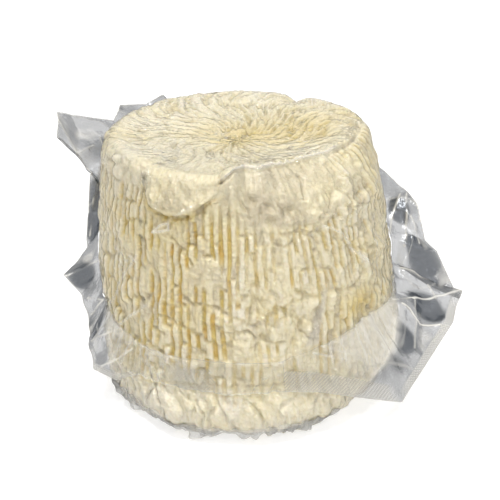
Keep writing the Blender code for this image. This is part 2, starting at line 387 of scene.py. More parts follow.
# Where the curd is smooth: (strength, azimuth, spread, level, spread).
BARE = metres((
    (1, -13, 6, 81.5, 7), (1, 7, 8, 71.5, 4), (1, 12, 26, 118.5, 10), (0.7, 12, 14, 108, 8),
    (0.8, 30, 8, 112, 12), (0.9, 36, 14, 117, 9), (0.8, 22, 7, 58, 5), (0.8, 9, 5, 53, 4),
    (0.7, -32, 5, 83, 6), (0.8, 48, 9, 64, 8),
), 3, 4)


def bare_of_ribs(skin):
    """1 where the curd is smooth: the table's patches, random ones, the tongue, a strip
    outside the skin's edge and the shoulder on the left."""
    held = np.minimum(skin.level, 0.1185)
    bare = [strength * ease(1.7 * spot(skin.azimuth, held, *place)) for strength, *place in BARE]
    bare += [ease((skin.weave(0.014, 30, 8) - 0.38) / 0.22), ease(tongue_depth(skin) / 0.001 + 0.8)]
    calm_until = 0.003 + 0.007 * ease((54 - skin.front) / 10)
    bare += [ease((calm_until - skin.past_edge) / 0.004 + 0.5) * (skin.height > 0.09)]
    uneven = 0.003 * skin.weave(0.02, 40, 18)
    bare += [0.85 * ease((skin.level + uneven - 0.113) / 0.004) * skin.window(-110, 30, 4, 8)]
    return np.max(bare, axis=0)


RIB_LENGTH = 0.0092  # from one place where a rib may break to the next


def rib_relief(skin, sizes):
    """Depths from 0 to 1 of the flat-bottomed grooves and of the crosswise cracks, and how
    far each block of a rib stands out or back, from -1 to 1. Round the side a groove lies at
    each whole number of ribs, u, bent by random fields. Each groove has a random strength
    for each length of rib, and each rib a crack or none where lengths meet, at levels that
    step from rib to rib."""
    wander = 0.34 * skin.weave(0.036, 20, 3) + 0.12 * skin.weave(0.008, 50, 4)
    wander = wander * (0.5 + 0.5 * ease((skin.front + 60) / 30))
    lean = skin.window(16, 14, 50, 14) * skin.above(0.06, 0.01) * (skin.level < 0.11)
    wander = wander + 26 * (skin.level - 0.085) * lean
    along = skin.turn * sizes.rib_count + wander
    between, edge = np.floor(along), np.round(along)

    def lengths(rib):
        turn = rib / sizes.rib_count
        slow = 0.9 * weave(turn, skin.level / 0.05, 18, 5)
        return skin.level / RIB_LENGTH + slow + 0.55 * weave(turn, skin.level / 0.018, 58, 6)

    rng = np.random.default_rng(21)
    shape = (sizes.rib_count, 32)
    strength = rng.choice([0.1, 0.5, 0.85, 1.0], shape, p=[0.16, 0.2, 0.34, 0.3])
    crossing = rng.choice([0.0, 0.55, 1.0], shape, p=[0.42, 0.26, 0.32])
    width = 0.215 + 0.06 * skin.weave(0.01, 60, 9)
    here = stepped(strength, edge.astype(int), lengths(edge), 0.14)
    groove = ease((width - np.abs(along - edge)) / 0.17 + 0.5) * here
    level, rib = lengths(between), between.astype(int)
    block = stepped(rng.uniform(-1, 1, shape), rib, level, 0.12)
    nearest = np.round(level)
    meets = bell(level - nearest, 0.085) * crossing[rib % sizes.rib_count, nearest.astype(int) % 32]
    crack = meets * (1 - 0.5 * bell(along - edge, 0.12))
    bare = bare_of_ribs(skin)
    low = skin.above(0.014, 0.016) * skin.beside
    loose = low * (1 - 0.85 * ease((np.abs(skin.front) - 60) / 30))
    strong = 0.8 + 0.3 * bell(away(skin.azimuth, -36), 34)
    strong = strong * (0.65 + 0.35 * skin.above(0.036, 0.014))
    groove = groove * (1 - 0.95 * bare) * low * strong
    crack = crack * (1 - 0.75 * bare) * loose
    block = block * (1 - groove) * (1 - 0.7 * bare) * loose
    return groove, crack, bare, block


# Where the curd has parted: lines of (azimuth, level).
CRACKS = [metres(line, 1) for line in (
    ((0, 71.3), (4, 72.2), (11, 64.5), (15, 66.2), (19, 69), (26, 68.8)),
    ((20, 74.2), (24, 70), (27, 68.4), (33, 68.8), (42, 67.9), (47, 67.7), (53, 72.5)),
    ((-22, 70), (-17, 66.8), (-11, 68), (-5, 64), (1, 60)),
    ((-8, 58.5), (-3, 55.2), (3, 56), (8, 50), (14, 49.2)), ((-26, 96), (-21, 90), (-17, 86)),
    ((12, 95), (17, 93.5), (22, 96.5), (28, 96)), ((38, 93), (44, 90), (50, 84.5), (55, 80)),
    ((-30, 59), (-24, 57), (-18, 53), (-12, 53.5)), ((30, 135), (30.2, 132), (28.4, 126.1), (27.5, 121)),
    ((41.2, 119), (38.2, 112.9)),
)]
# Where the curd is crumpled: (strength, azimuth, spread, level, spread).
CRUMPLED = metres(((1, 12, 22, 58, 16), (0.25, 36, 16, 106, 14), (0.6, 62, 20, 80, 40)), 3, 4)


def crumpled(skin):
    """0 to 1 where the curd is crumpled rather than ribbed."""
    zones = [strength * skin.spot(*place) for strength, *place in CRUMPLED]
    return np.max(zones, axis=0) * skin.beside


def cracks(skin):
    """0 to 1 along the cracks of the table and, where the curd is crumpled, along the zero
    lines of a random field."""
    shake = skin.grain(0.005, 2)
    across, up = skin.across + 0.001 * shake, skin.level + 0.0008 * shake
    deep = 0.75 * bell(np.min([near_line(across, up, unrolled(line)) for line in CRACKS], axis=0), 0.0008)
    field = skin.weave(0.011, 42, 14) + 0.45 * skin.weave(0.005, 90, 15)
    return np.maximum(deep, bell(field, 0.11) * ease(crumpled(skin) / 0.7) * 0.8) * skin.beside


TWIST_X = -0.003  # where the strands of the top's skin meet
STRANDS = (  # its rings of strands: (middle, spread, cells around, seed)
    (0.003, 0.006, 14, 31),
    (0.013, 0.008, 44, 32),
    (0.028, 0.011, 88, 33),
    (0.046, 0.012, 136, 34),
    (0.064, 0.012, 170, 35),
)


def top_relief(skin):
    """The wrinkled skin of the top, in metres: strands that run out from a twist left of
    the middle, as |random field| whose zero lines are the valleys. Rings of more and more
    cells keep the strands equally wide."""
    x, y = skin.x - TWIST_X, skin.y
    reach = np.hypot(x, y)
    turn = np.arctan2(x, -y) / (2 * np.pi)
    turn = turn + 0.05 * np.sin(reach / 0.011) + 0.035 * skin.grain(0.024, 3) + 1.1 * reach
    strands = np.zeros(len(x))
    for middle, spread, around, seed in STRANDS:
        field = weave(turn, reach / 0.013, around, seed) + 0.5 * weave(turn, reach / 0.005, around * 2, seed + 9)
        strands += ridged(field, 2.4, 0.5) * bell(reach - middle, spread)
    folds = ridged(weave(turn, reach / 0.018, 34, 51), 2, 0.6)
    front = ease((-y - 0.036) / 0.012) * ease((0.01 - x) / 0.016)
    rim = ease((reach - 0.046) / 0.012) * (0.3 + 0.7 * ease((-y - 0.005) / 0.02))
    calm = (1 - np.maximum(0.5 * front, 0.55 * rim)) * skin.on_top
    strands *= 0.75 + 0.75 * ease((y + 0.5 * x + 0.01) / 0.04)
    return (0.002 * strands + 0.001 * folds) * calm, strands * calm


def edge_relief(skin):
    """The skin's edge in front on the right, in metres: rounded like the tongue's, with a
    slot outside it."""
    depth = np.clip(-skin.past_edge / 0.0022, 0, 1)
    lip = 0.0013 * np.sqrt(1 - (1 - depth) ** 2) * ease((skin.past_edge + 0.016) / 0.012)
    slot = 0.0008 * bell(skin.past_edge - 0.0012, 0.0009) * (skin.past_edge > 0)
    return skin.window(-9, 5, 100, 30) * (skin.height > 0.08) * (lip - slot)


def tongue_relief(skin):
    """The tongue, in metres: h sqrt(1 - (1 - d/w)^2) at a depth d inside its outline, with
    crescent wrinkles along its lower left edge, a slot under it and a pit at its right end."""
    depth = tongue_depth(skin)
    free = skin.below(0.1235, 0.01)
    lift = 0.003 * np.sqrt(1 - (1 - np.clip(depth / 0.0028, 0, 1)) ** 2)
    lift *= 1 - 0.3 * ease((depth - 0.003) / 0.006)
    lines = np.cos(2 * np.pi * (depth + 0.0006 * skin.grain(0.006, 5)) / 0.0023)
    lower_left = ease((-20 - skin.front) / 8) * skin.below(0.117, 0.004)
    wrinkles = 0.00065 * lines * bell(depth - 0.0045, 0.0034) * lower_left
    slot = -0.0012 * bell(depth + 0.001, 0.0009)
    pit = -0.0025 * bell(np.hypot(np.radians(skin.front + 6.6) * 0.066, skin.run - 0.0655), 0.0009)
    return pit + free * (lift + wrinkles + slot) * skin.window(-42, 3, -5, 4)


def foot_relief(skin):
    """Soft slanting wrinkles low on the round, below the seal: a field stretched along a
    slant, in metres."""
    low = skin.below(0.034, 0.01) * ease(skin.height / 0.002)
    slant = np.abs(weave(skin.turn + 1.3 * skin.level, skin.level / 0.014, 96, 61))
    other = np.abs(weave(skin.turn - 1.5 * skin.level, skin.level / 0.014, 104, 62))
    folds = ridged(np.minimum(slant, other + 0.1), 2.2, 0.5)
    small = ridged(skin.grain(0.0042, 12), 2, 0.5)
    return (0.0023 * folds + 0.0009 * small) * low


def curd_relief(skin, sizes):
    """The curd's relief in metres: what the film follows, what it bridges, which is never
    above 0, and the masks that the colour follows."""
    groove, crossing, bare, block = rib_relief(skin, sizes)
    parted = cracks(skin)
    wrinkles, strands = top_relief(skin)
    rough, face, off_foot = crumpled(skin), sloping_face(skin), ease(skin.height / 0.01)

    def wrinkled(cell, seed, gain, middle):
        return ridged(skin.grain(cell, seed), gain, middle)

    lumpy = 0.0008 * skin.grain(0.009, 6) + 0.00075 * skin.grain(0.0042, 7)
    upper = skin.spot(12, 30, 0.11, 0.01)
    lumpy *= (0.8 + 1.2 * rough + 1.8 * upper) * skin.beside * ease((skin.height - 0.002) / 0.01)
    shoulder = bell(skin.level - 0.119, 0.006) * ease(-skin.front / 10)
    soft = wrinkled((0.0045, 0.0045, 0.0052), 17, 2.2, 0.5) * bare * skin.beside * ease((skin.height - 0.02) / 0.01)
    lumpy += 0.0008 * (1 + shoulder) * soft + 0.00075 * block
    lumpy *= 1 - 0.6 * face * skin.above(0.122, 0.004)
    crumple = 0.0015 * wrinkled((0.0085, 0.0085, 0.0075), 13, 2, 0.6) * rough
    streaks = 0.0003 * skin.weave(0.03, 240, 81) * face
    fine = wrinkled((0.0022, 0.0022, 0.003), 14, 2.5, 1)
    fine *= 1 - 0.6 * skin.above(0.113, 0.006) * ease((skin.run - 0.054) / 0.006)
    fine *= 1 - 0.75 * face
    folded = tongue_relief(skin) + edge_relief(skin) + foot_relief(skin)
    followed = lumpy + streaks + crumple + folded + 0.7 * wrinkles
    cut = np.maximum(groove, np.maximum(0.85 * crossing, parted))
    bridged = -sizes.rib_depth * cut + 0.00055 * fine * off_foot + 0.3 * np.minimum(0, wrinkles)
    masks = {"groove": groove, "crack": np.maximum(crossing, parted), "block": block}
    masks |= {"strands": strands, "face": face, "valley": ease((-fine - 0.45) / 0.5) * off_foot}
    return followed, bridged, masks


def sloping_face(skin):
    """1 on the smooth sloping face outside the skin's edge, in front on the right."""
    upper = skin.above(FACE_FOOT, 0.006) * (skin.height > 0.09)
    return bell(skin.front - 16, 30) * upper * skin.beside


# Where the clinging film stands up: the milkiness of the line along it, partly a painted highlight, then a line of
# (azimuth, level).
FILM_CREASES = [(strength, metres(line, 1)) for strength, line in (
    (1, ((-33.7, 97), (-30.6, 101), (-27.1, 102.3), (-26.6, 99.6), (-33.7, 97))),
    (0.5, ((-33.7, 97), (-25.5, 104.9), (-20.2, 109.4), (-15.5, 113.6))),
    (0.8, ((32.5, 100.6), (40.7, 95), (46.2, 86.4), (53.1, 76.8))),
    (0.6, ((41, 93.5), (47, 84), (52, 76.5))), (0.4, ((22.8, 95.9), (27.8, 96.7), (32.5, 100.6))),
    (0.8, ((-64, 40), (-59.1, 50.4), (-49.8, 68.1), (-41.2, 83.8))),
    (0.8, ((-61.7, 35.3), (-54, 42), (-44.8, 52.2), (-35.6, 61.7))),
    (0.5, ((-48.7, 36.1), (-42.1, 39.6), (-35.8, 40.5), (-29.8, 38), (-23.6, 40.1))),
    (0.7, ((-55.8, 81.7), (-49.7, 81.9), (-46.8, 78.3), (-44.6, 82.1), (-41.6, 80.3))),
    (0.5, ((-57, 90), (-54, 83), (-50, 76), (-48, 72))), (0.4, ((33.1, 73.4), (29.1, 64.1), (20.6, 47))),
    (0.4, ((33.1, 73.4), (31, 61.1), (27.3, 43.2))), (0.6, ((58, 90), (62, 80), (60, 70))),
    (0.6, ((66, 96), (64, 86), (68, 76))),
)]


PLEAT = ((33.1, 0.0734), (24, 0.044))  # (azimuth, level) of the ends of its middle line
PLEAT_WIDTH = 0.0076  # at its foot
CREASE_WIDTH = 0.0005  # of the milky line, partly a painted highlight, along a crease
FILM_GAP = 0.00025  # from the curd to the clinging film
FILM_DIPS = 0.55  # share of a groove's depth that it follows


def pleated(skin):
    """1 in the wedge where the clinging film lies double."""
    (top, high), (foot, low) = PLEAT
    down = (high - skin.level) / (high - low)
    off = np.abs(np.radians(away(skin.front, top + (foot - top) * down))) * SIDE_RADIUS
    return ease((0.5 * PLEAT_WIDTH * down - off) / 0.0008 + 0.5) * window(down, 0, 0.1, 1, 0.1)


def film_creases(skin):
    """How far the clinging film stands up, in metres, and how milky it is there: along the
    table's lines, where the milky line is partly a painted highlight, in the doubled wedge of its
    pleat, and as painted highlights along the edge of the top's skin and along the zero lines of
    a random field where another one is high."""
    across = skin.across + 0.0006 * skin.grain(0.004, 22)
    rise, milk_and_highlight = np.zeros((2, len(across)))
    for strength, line in FILM_CREASES:
        distance = near_line(across, skin.level, unrolled(line))
        milk_and_highlight = np.maximum(milk_and_highlight, strength * bell(distance, CREASE_WIDTH))
        rise = np.maximum(rise, 0.0008 * np.maximum(0, 1 - distance / 0.0016))
    # painted glints: thin milky lines along a random field's zero lines where another one is high
    field = skin.grain((0.009, 0.009, 0.012), 23) + 0.4 * skin.grain(0.004, 24)
    loose = bell(field, 0.035) * ease((skin.grain(0.016, 25) - 0.12) / 0.15)
    # painted highlight: a milky line along the edge of the top's skin
    lip = skin.window(-9, 5, 70, 12) * (skin.height > 0.08) * bell(skin.past_edge + 0.0003, 0.0004)
    return rise + 0.0003 * loose, np.max([milk_and_highlight, 0.45 * pleated(skin), 0.9 * lip, 0.35 * loose], axis=0)


def in_space(sizes, azimuth, height, radius):
    """Points in space from azimuth, height and radius about the leaning axis."""
    lean, turn = sizes.top_lean * height / sizes.height, np.radians(azimuth)
    return np.column_stack([radius * np.sin(turn) + lean, -radius * np.cos(turn), height])


def about_axis(sizes, points):
    """The azimuth, radius and height of points in space, about the leaning axis."""
    x, y, height = points.T
    x = x - sizes.top_lean * height / sizes.height
    return np.degrees(np.arctan2(x, -y)), np.hypot(x, y), height


def placed(skin, sizes, relief):
    """Points in space: the pressed profile, moved along the profile's outward direction."""
    radius, height, out, up = pressed(skin, sizes)
    return in_space(sizes, skin.azimuth, np.maximum(0, height + relief * up), np.maximum(0, radius + relief * out))


# The lower edge of the seal that lies on the front, as (azimuth, level), where a thin shadow line is painted on the
# curd.
SEAL_FOOT = ((-35, 0.0241), (-29, 0.0262), (-14, 0.0295), (15, 0.03))


def tints(skin, sizes, masks):
    """How golden and how amber each point is, from 0 to 1, and its tone, from 0, dark, to 1,
    pale, for the finish. A low tone is mostly painted shade: in the valleys and cracks, on the
    sloping face and the left shoulder, and in thin shadow lines along the skin's edge and the
    seal's foot."""
    front, level = skin.front, skin.level
    groove, crack, strands, face = (masks[name] for name in ("groove", "crack", "strands", "face"))
    deep = np.maximum(groove, 0.5 * crack)
    warm = 0.5 + 0.5 * skin.weave(0.016, 26, 71)
    left = skin.spot(-28, 28, 0.08, 0.032)
    patch = skin.spot(49, 9, 0.058, 0.007)
    band = skin.spot(-10, 30, 0.036, 0.008)
    # painted shade: a golder, darker band just below the tongue's edge, where it overhangs
    under = bell(tongue_depth(skin) + 0.0018, 0.0022) * (level < 0.118)
    region = np.clip(0.45 + 0.62 * left + 0.45 * warm, 0, 1.4) + 0.8 * band
    rng = np.random.default_rng(5)
    shape, rib = (sizes.rib_count, 24), np.round(skin.turn * sizes.rib_count).astype(int)
    uneven = stepped(rng.uniform(0.5, 1.2, shape), rib, level / 0.011, 0.6)
    gold = deep * region * uneven + 0.8 * patch + 0.55 * under + 0.3 * left * warm + 0.12 * warm
    hot = stepped(rng.uniform(0, 1, shape) ** 3, rib, level / 0.008, 0.6)
    amber = groove * hot * (0.18 + 0.75 * left + 0.2 * warm) + 0.3 * patch * deep
    top_gold = bell(skin.x - 0.03, 0.024) * bell(skin.y - 0.012, 0.022)
    top_gold += 0.7 * bell(skin.x, 0.018) * bell(skin.y - 0.012, 0.014)
    twist = 0.3 * bell(np.hypot(skin.x - TWIST_X, skin.y), 0.009)
    gold += (0.5 * top_gold + twist + 0.55 * ease(0.2 - 1.6 * strands) * (0.2 + top_gold)) * skin.on_top
    tone = 0.5 + 0.3 * ease((0.5 - gold) / 0.5) * (0.2 + 0.6 * skin.grain(0.012, 9))
    # painted shade: darker in the strands' valleys, in the fine wrinkles' valleys and along the cracks
    tone += 0.35 * np.clip(strands, -1, 0.5) - (0.2 * masks["valley"] + 0.25 * crack) * (1 - 0.7 * face)
    # painted shadow: a dark line on the side just outside the skin's edge, under its lip, in front and on the right
    shown = np.maximum(skin.window(-9, 3, 1, 3), 0.6 * skin.window(56, 8, 98, 8))
    seam = bell(skin.past_edge - 0.0006, 0.0006) * (skin.height > 0.09) * shown
    # painted shade: the upper side on the left, below the rim, is a little darker
    shoulder = skin.above(0.106, 0.006) * skin.window(-80, 20, 0, 10) * skin.beside
    low = skin.below(0.03, 0.008)
    # painted shadow: a thin line along the seal's lower edge, darker and golder
    foot = bell(level - np.interp(front, *zip(*SEAL_FOOT)), 0.0005) * skin.window(-38, 4, 17, 3)
    tone += 0.22 * masks["block"] + 0.2 * low + 0.16 * band - 0.05 * shoulder
    # painted shade on the sloping face, painted shadow lines along the seam and the seal's foot, and darker curd
    # under the pleat's doubled film
    tone -= 0.35 * face + 0.6 * seam + 0.4 * foot + 0.28 * pleated(skin)
    # less gold on the face and near the foot; the seal's painted shadow line gets gold
    gold = gold * (1 - 0.7 * face) * (1 - 0.6 * low) + 0.4 * foot
    return np.clip(np.stack([gold, amber, tone], axis=1), 0, 1)


# ---- meshes


def linked(name, data):
    """A new object with this data, in the scene."""
    thing = bpy.data.objects.new(name, data)
    bpy.context.scene.collection.objects.link(thing)
    return thing


def mesh_piece(name, points, faces, tint, material):
    """A smooth mesh object from arrays, which rides on the frame's one body. Its tint is
    three values at each point, for the material."""
    mesh = bpy.data.meshes.new(name)
    mesh.vertices.add(len(points))
    mesh.vertices.foreach_set("co", points.astype(np.float32).ravel())
    mesh.loops.add(faces.size)
    mesh.loops.foreach_set("vertex_index", faces.astype(np.int32).ravel())
    mesh.polygons.add(len(faces))
    mesh.polygons.foreach_set("loop_start", np.arange(0, faces.size, faces.shape[1], dtype=np.int32))
    mesh.update(calc_edges=True)
    mesh.validate()
    mesh.shade_smooth()
    layer = mesh.color_attributes.new("tint", "FLOAT_COLOR", "POINT")
    layer.data.foreach_set("color", np.column_stack([tint, np.ones(len(tint))]).astype(np.float32).ravel())
    mesh.materials.append(material)
    piece = linked(name, mesh)
    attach(piece, "root")
    return piece


# ---- the bag's margin


# By azimuth: the seam's height, then the cut edge's radius, 0 where it lies on the round, and
# height at each corner or dent. The edge runs straight between them.
MARGIN = metres((
    (-158, 111.5, 0, 100), (-148, 110, 77.9, 123.6), (-142, 108.5, 81.7, 118.9), (-133, 106, 86.9, 119.9),
    (-127, 103.5, 83.1, 114.3), (-110, 96, 99.5, 123.3), (-104, 92, 96, 112.6), (-100, 88, 76.5, 98.6),
    (-97, 83, 76.8, 78.7), (-90, 73, 77.4, 64.9), (-82, 65, 88.5, 53.8), (-75, 58, 81.5, 47.7),
    (-65, 50, 81, 33.6), (-55, 45, 86.5, 22.1), (-44, 42, 85.5, 23.1), (-38, 41, 0, 26.5),
    (14, 41, 0, 26.5), (25, 44, 83, 24.8), (35, 46.5, 87.9, 20.4), (48, 50.5, 99.5, 14.1),
    (75, 50, 106.9, 36), (85, 60, 108.7, 40.8), (87, 72, 97.5, 64.3), (90, 75, 91.9, 68.1),
    (97, 80, 89.7, 82.5), (104, 85, 85.5, 87.2), (118, 94, 84.5, 89.6), (140, 104, 88, 101),
    (152, 109, 0, 98),
), 1, 2, 3)
MARGIN_CLEAR = 0.0007  # least distance from the clinging film
MARGIN_SHEET = 0.0003  # thickness of the two films together
MARGIN_CELL = 0.0006  # size of a cell of its grid
LOWEST = 0.0005  # height at which it is held clear of the foot's edge
SKIRT_SAG = 0.06  # of its width, at mid width
VIEWER = np.array([0, -0.55, 0.31])  # where the clear margin is looked through from


def film_radius(sizes, azimuth, height):
    """The clinging film's radius at places on the round's side."""
    skin = side_skin(sizes, azimuth, height)
    return pressed(skin, sizes)[0] + curd_relief(skin, sizes)[0]


def held_clear(sizes, points):
    """The points, those too near to the clinging film moved straight out, and how far all
    stood out of it."""
    azimuth, radius, height = about_axis(sizes, points)
    height = np.maximum(LOWEST, height)
    film = film_radius(sizes, azimuth, height)
    return in_space(sizes, azimuth, height, np.maximum(radius, film + MARGIN_CLEAR)), radius - film


def margin_ends(sizes, azimuth):
    """The seam's and the cut edge's points at some azimuths."""
    turn, seam_height, radius, height = np.array(MARGIN).T
    film = film_radius(sizes, turn, height) + MARGIN_CLEAR
    corners = in_space(sizes, turn, height, np.maximum(film, radius))
    cut = np.column_stack([np.interp(azimuth, turn, corner, period=360) for corner in corners.T])
    height = np.interp(azimuth, turn, seam_height, period=360)
    film = film_radius(sizes, azimuth, height) + MARGIN_CLEAR
    return in_space(sizes, azimuth, height, film), cut


def gather_ends(sizes, azimuth):
    """The upper and lower edges of the film that is gathered under the foot's edge: it
    bulges out by a random amount."""
    fields = ((60, 81), (90, 84), (60, 82), (170, 83))
    tuck, narrow, wide, small = (weave(azimuth / 360, 0 * azimuth, *row) for row in fields)
    upper = 0.0105 + 0.004 * tuck
    lower = 0.0008 + 0.0025 * ease(narrow)
    ruffle = (0.0018 + 0.0042 * wide + 0.003 * small) * window(azimuth, -66, 14, 38, 14)
    return tuple(
        in_space(sizes, azimuth, height, film_radius(sizes, azimuth, height) + out)
        for height, out in ((upper, MARGIN_CLEAR), (lower, np.maximum(0.0006, ruffle)))
    )


def clear_behind(sizes, points):
    """How far the line of sight from the viewer through each point stays clear of the
    pressed round behind it."""
    sight = points - VIEWER
    sight /= np.linalg.norm(sight, axis=1, keepdims=True)
    least = np.full(len(points), 1.0)
    for step in np.linspace(0, 0.14, 15):
        azimuth, radius, height = about_axis(sizes, points + step * sight)
        skin = side_skin(sizes, azimuth, np.maximum(LOWEST, height))
        least = np.where(height > 0, np.minimum(least, radius - pressed(skin, sizes)[0]), least)
    return least


class Margin:
    """A grid over the margin between two azimuths. Its columns run out from the seam, S, to
    the cut edge, E, at S + s (E - S) with the share s from 0 to 1, and sag in the middle."""

    def __init__(self, sizes, first, last, rows, ends):
        self.ends = ends
        fine = np.linspace(first, last, 1500)
        seam, cut = ends(sizes, fine)
        step = np.maximum(*(np.linalg.norm(np.diff(line, axis=0), axis=1) for line in (seam, cut)))
        way = np.concatenate([[0], np.cumsum(step)])
        columns = int(way[-1] / MARGIN_CELL) + 2
        self.shape = columns, rows
        self.along = np.repeat(np.linspace(0, way[-1], columns), rows)
        self.azimuth = np.interp(self.along, way, fine)
        self.share = np.tile(np.linspace(0, 1, rows), columns)
        self.points, self.width = self.at(sizes, self.azimuth, self.share)
        self.from_edge = (1 - self.share) * self.width

    def at(self, sizes, azimuth, share):
        """Points of the plain margin, and its width at them."""
        seam, cut = self.ends(sizes, azimuth)
        width = np.linalg.norm(cut - seam, axis=1)
        points = seam + share[:, None] * (cut - seam)
        points[:, 2] -= SKIRT_SAG * width * np.sin(np.pi * share)
        return points, width

    def across(self, points):
        """Unit normals of a grid of points."""
        grid = points.reshape(*self.shape, 3)
        normal = np.cross(np.gradient(grid, axis=1), np.gradient(grid, axis=0)).reshape(-1, 3)
        return normal / np.maximum(1e-12, np.linalg.norm(normal, axis=1, keepdims=True))

    def near(self, sizes, line):
        """The least distance to a line of (azimuth, share) corners, measured in space."""
        corners, _ = self.at(sizes, *np.array(line, float).T)
        least = np.full(len(self.points), 1e9)
        for start, end in zip(corners, corners[1:]):
            run = end - start
            share = np.clip((self.points - start) @ run / (run @ run), 0, 1)
            least = np.minimum(least, np.linalg.norm(self.points - start - share[:, None] * run, axis=1))
        return least

    def faces(self):
        """The two sheets' quads and the narrow ones that join them round the outside."""
        columns, rows = self.shape
        back = columns * rows
        front = grid_quads(columns, rows)
        i, j = np.arange(columns), np.arange(rows)
        rim = np.concatenate([j[:-1], i[:-1] * rows + rows - 1, (columns - 1) * rows + j[:0:-1], i[:0:-1] * rows])
        after = np.roll(rim, -1)
        edge = np.stack([rim, rim + back, after + back, after], axis=1)
        return np.concatenate([front, front[:, ::-1] + back, edge])


# Where the free margin is darkest: (azimuth, spread, share, spread).
SLATE = (
    (75.6, 4, 0.55, 0.3), (87, 3, 0.6, 0.3), (60, 4, 0.45, 0.25), (97, 4, 0.4, 0.3), (-79, 3, 0.6, 0.4),
    (-62.5, 2.5, 0.45, 0.3), (-95, 6, 0.4, 0.6),
)
# Where the margin is milky and finely crinkled: (strength, azimuth, spread, height, spread).
VEILS = metres(((0.55, 49, 15, 44, 14), (0.3, -50, 12, 50, 12)), 3, 4)


def margin_piece(sizes, material, name, first, last, rows, grey, creases=(), seals=(), ends=margin_ends):
    """One stretch of the margin: the plain sheet, crumpled by two random fields' ridges and
    raised along its creases, held clear of the round, given two sides."""
    margin = Margin(sizes, first, last, rows, ends)
    _, stand_out = held_clear(sizes, margin.points)
    free = ease(stand_out / 0.008) * ease(margin.share / 0.15)
    broad, fine = (grain(margin.points, cell, seed) for cell, seed in ((0.019, 41), (0.007, 42)))
    relief = 0.0012 * (1 - 2.2 * np.abs(broad)) + 0.0003 * (1 - 2.2 * np.abs(fine))
    # partly painted highlights: milky lines along the ridges of the crumpled sheet, along the cut edge and along
    # the creases
    milk_and_highlight = 0.3 * bell(broad, 0.025) * free + 0.6 * bell(margin.from_edge, CREASE_WIDTH)
    for strength, rise, reach, line in creases:
        distance = margin.near(sizes, line)
        relief = relief + rise * np.maximum(0, 1 - distance / reach)
        milk_and_highlight = np.maximum(milk_and_highlight, strength * bell(distance, CREASE_WIDTH))
    stand_behind = clear_behind(sizes, margin.points)
    crinkles = ease(0.6 + 1.2 * np.abs(grain(margin.points, (0.01, 0.01, 0.0035), 43))) * ease(margin.share / 0.05)
    for strength, *place in VEILS:
        veil = ease(1.6 * spot(margin.azimuth, margin.points[:, 2], *place) * crinkles)
        milk_and_highlight = np.maximum(milk_and_highlight, strength * veil * (1 - ease(stand_behind / 0.004)))
    dots = np.zeros(len(milk_and_highlight))
    for strength, deep, start, end in seals:
        sealed = ease((deep - margin.from_edge) / 0.001) * window(margin.azimuth, start, 7, end, 4)
        milk_and_highlight = np.maximum(milk_and_highlight, strength * sealed)
        dots = np.maximum(dots, sealed)
        relief = relief * (1 - 0.8 * sealed)
    points = margin.points + (relief * free)[:, None] * margin.across(margin.points)
    points, _ = held_clear(sizes, points)
    half = 0.5 * MARGIN_SHEET * margin.across(points)
    dark = np.max([spot(margin.azimuth, margin.share, *place) for place in SLATE], axis=0)
    haze = (grey + (1 - grey) * ease(2 * dark - 0.3)) * (1 - 0.45 * dots) * ease(stand_behind / 0.003 + 0.8)
    tint = np.column_stack([milk_and_highlight, haze, dots])
    both = np.concatenate([points + half, points - half])
    both[:, 2] = np.maximum(0.0002, both[:, 2])
    mesh = mesh_piece(name, both, margin.faces(), np.tile(tint, (2, 1)), material).data
    corner = np.empty(len(mesh.loops), np.int32)
    mesh.loops.foreach_get("vertex_index", corner)
    flat = np.column_stack([margin.along, margin.from_edge])[corner % len(milk_and_highlight)]
    mesh.uv_layers.new(name="margin").uv.foreach_set("vector", flat.astype(np.float32).ravel())


# The margin's creases: (milkiness of the line along each, partly a painted highlight, rise, reach, corners as
# (azimuth, share)).
RIGHT_CREASES = metres((
    (0.9, 3, 9, ((83.8, 0.1), (84.2, 0.35), (84.6, 0.98))),
    (0.9, 2, 7, ((69.1, 0.04), (75.1, 0.27), (78.9, 0.57), (84.7, 0.98))),
    (0.7, 1.2, 5, ((82.6, 0.49), (79.5, 0.63))), (0.6, 1.2, 5, ((75.8, 0.31), (67.3, 0.49), (60.8, 0.69))),
    (1, 1.5, 6, ((69.1, 0.16), (69.7, 0.31), (68.3, 0.47), (68.1, 0.55), (70.8, 0.73), (73.1, 0.94))),
    (0.8, 1.5, 6, ((73.1, 0.94), (67.3, 0.9))), (0.7, 1.5, 6, ((101.7, 0.71), (95.9, 0.2), (88, 0))),
    (0.7, 1.5, 6, ((101.1, 0.92), (94.8, 0.59), (86.8, 0.27))),
    (0.6, 1.2, 4, ((94.8, 0.71), (92.4, 0.76), (88, 0.67))), (0.8, 1.2, 4, ((28.7, 0.02), (37.4, 0.06))),
    (0.8, 1.2, 4, ((28.7, 0.02), (36.1, 0.22))), (0.8, 1.2, 4, ((24.9, 0.06), (35.3, 0.31))),
    (0.7, 1.2, 4, ((37.4, 0.06), (35.7, 0.31))), (0.8, 1.2, 4, ((48.2, 0.02), (52.3, 0.04), (59.2, 0.1))),
), 1, 2)
SEAL_CREASES = metres(((0.7, 0, 1, ((-38, 0.04), (-25, 0.04), (0, 0.04), (14, 0.04))),), 1, 2)
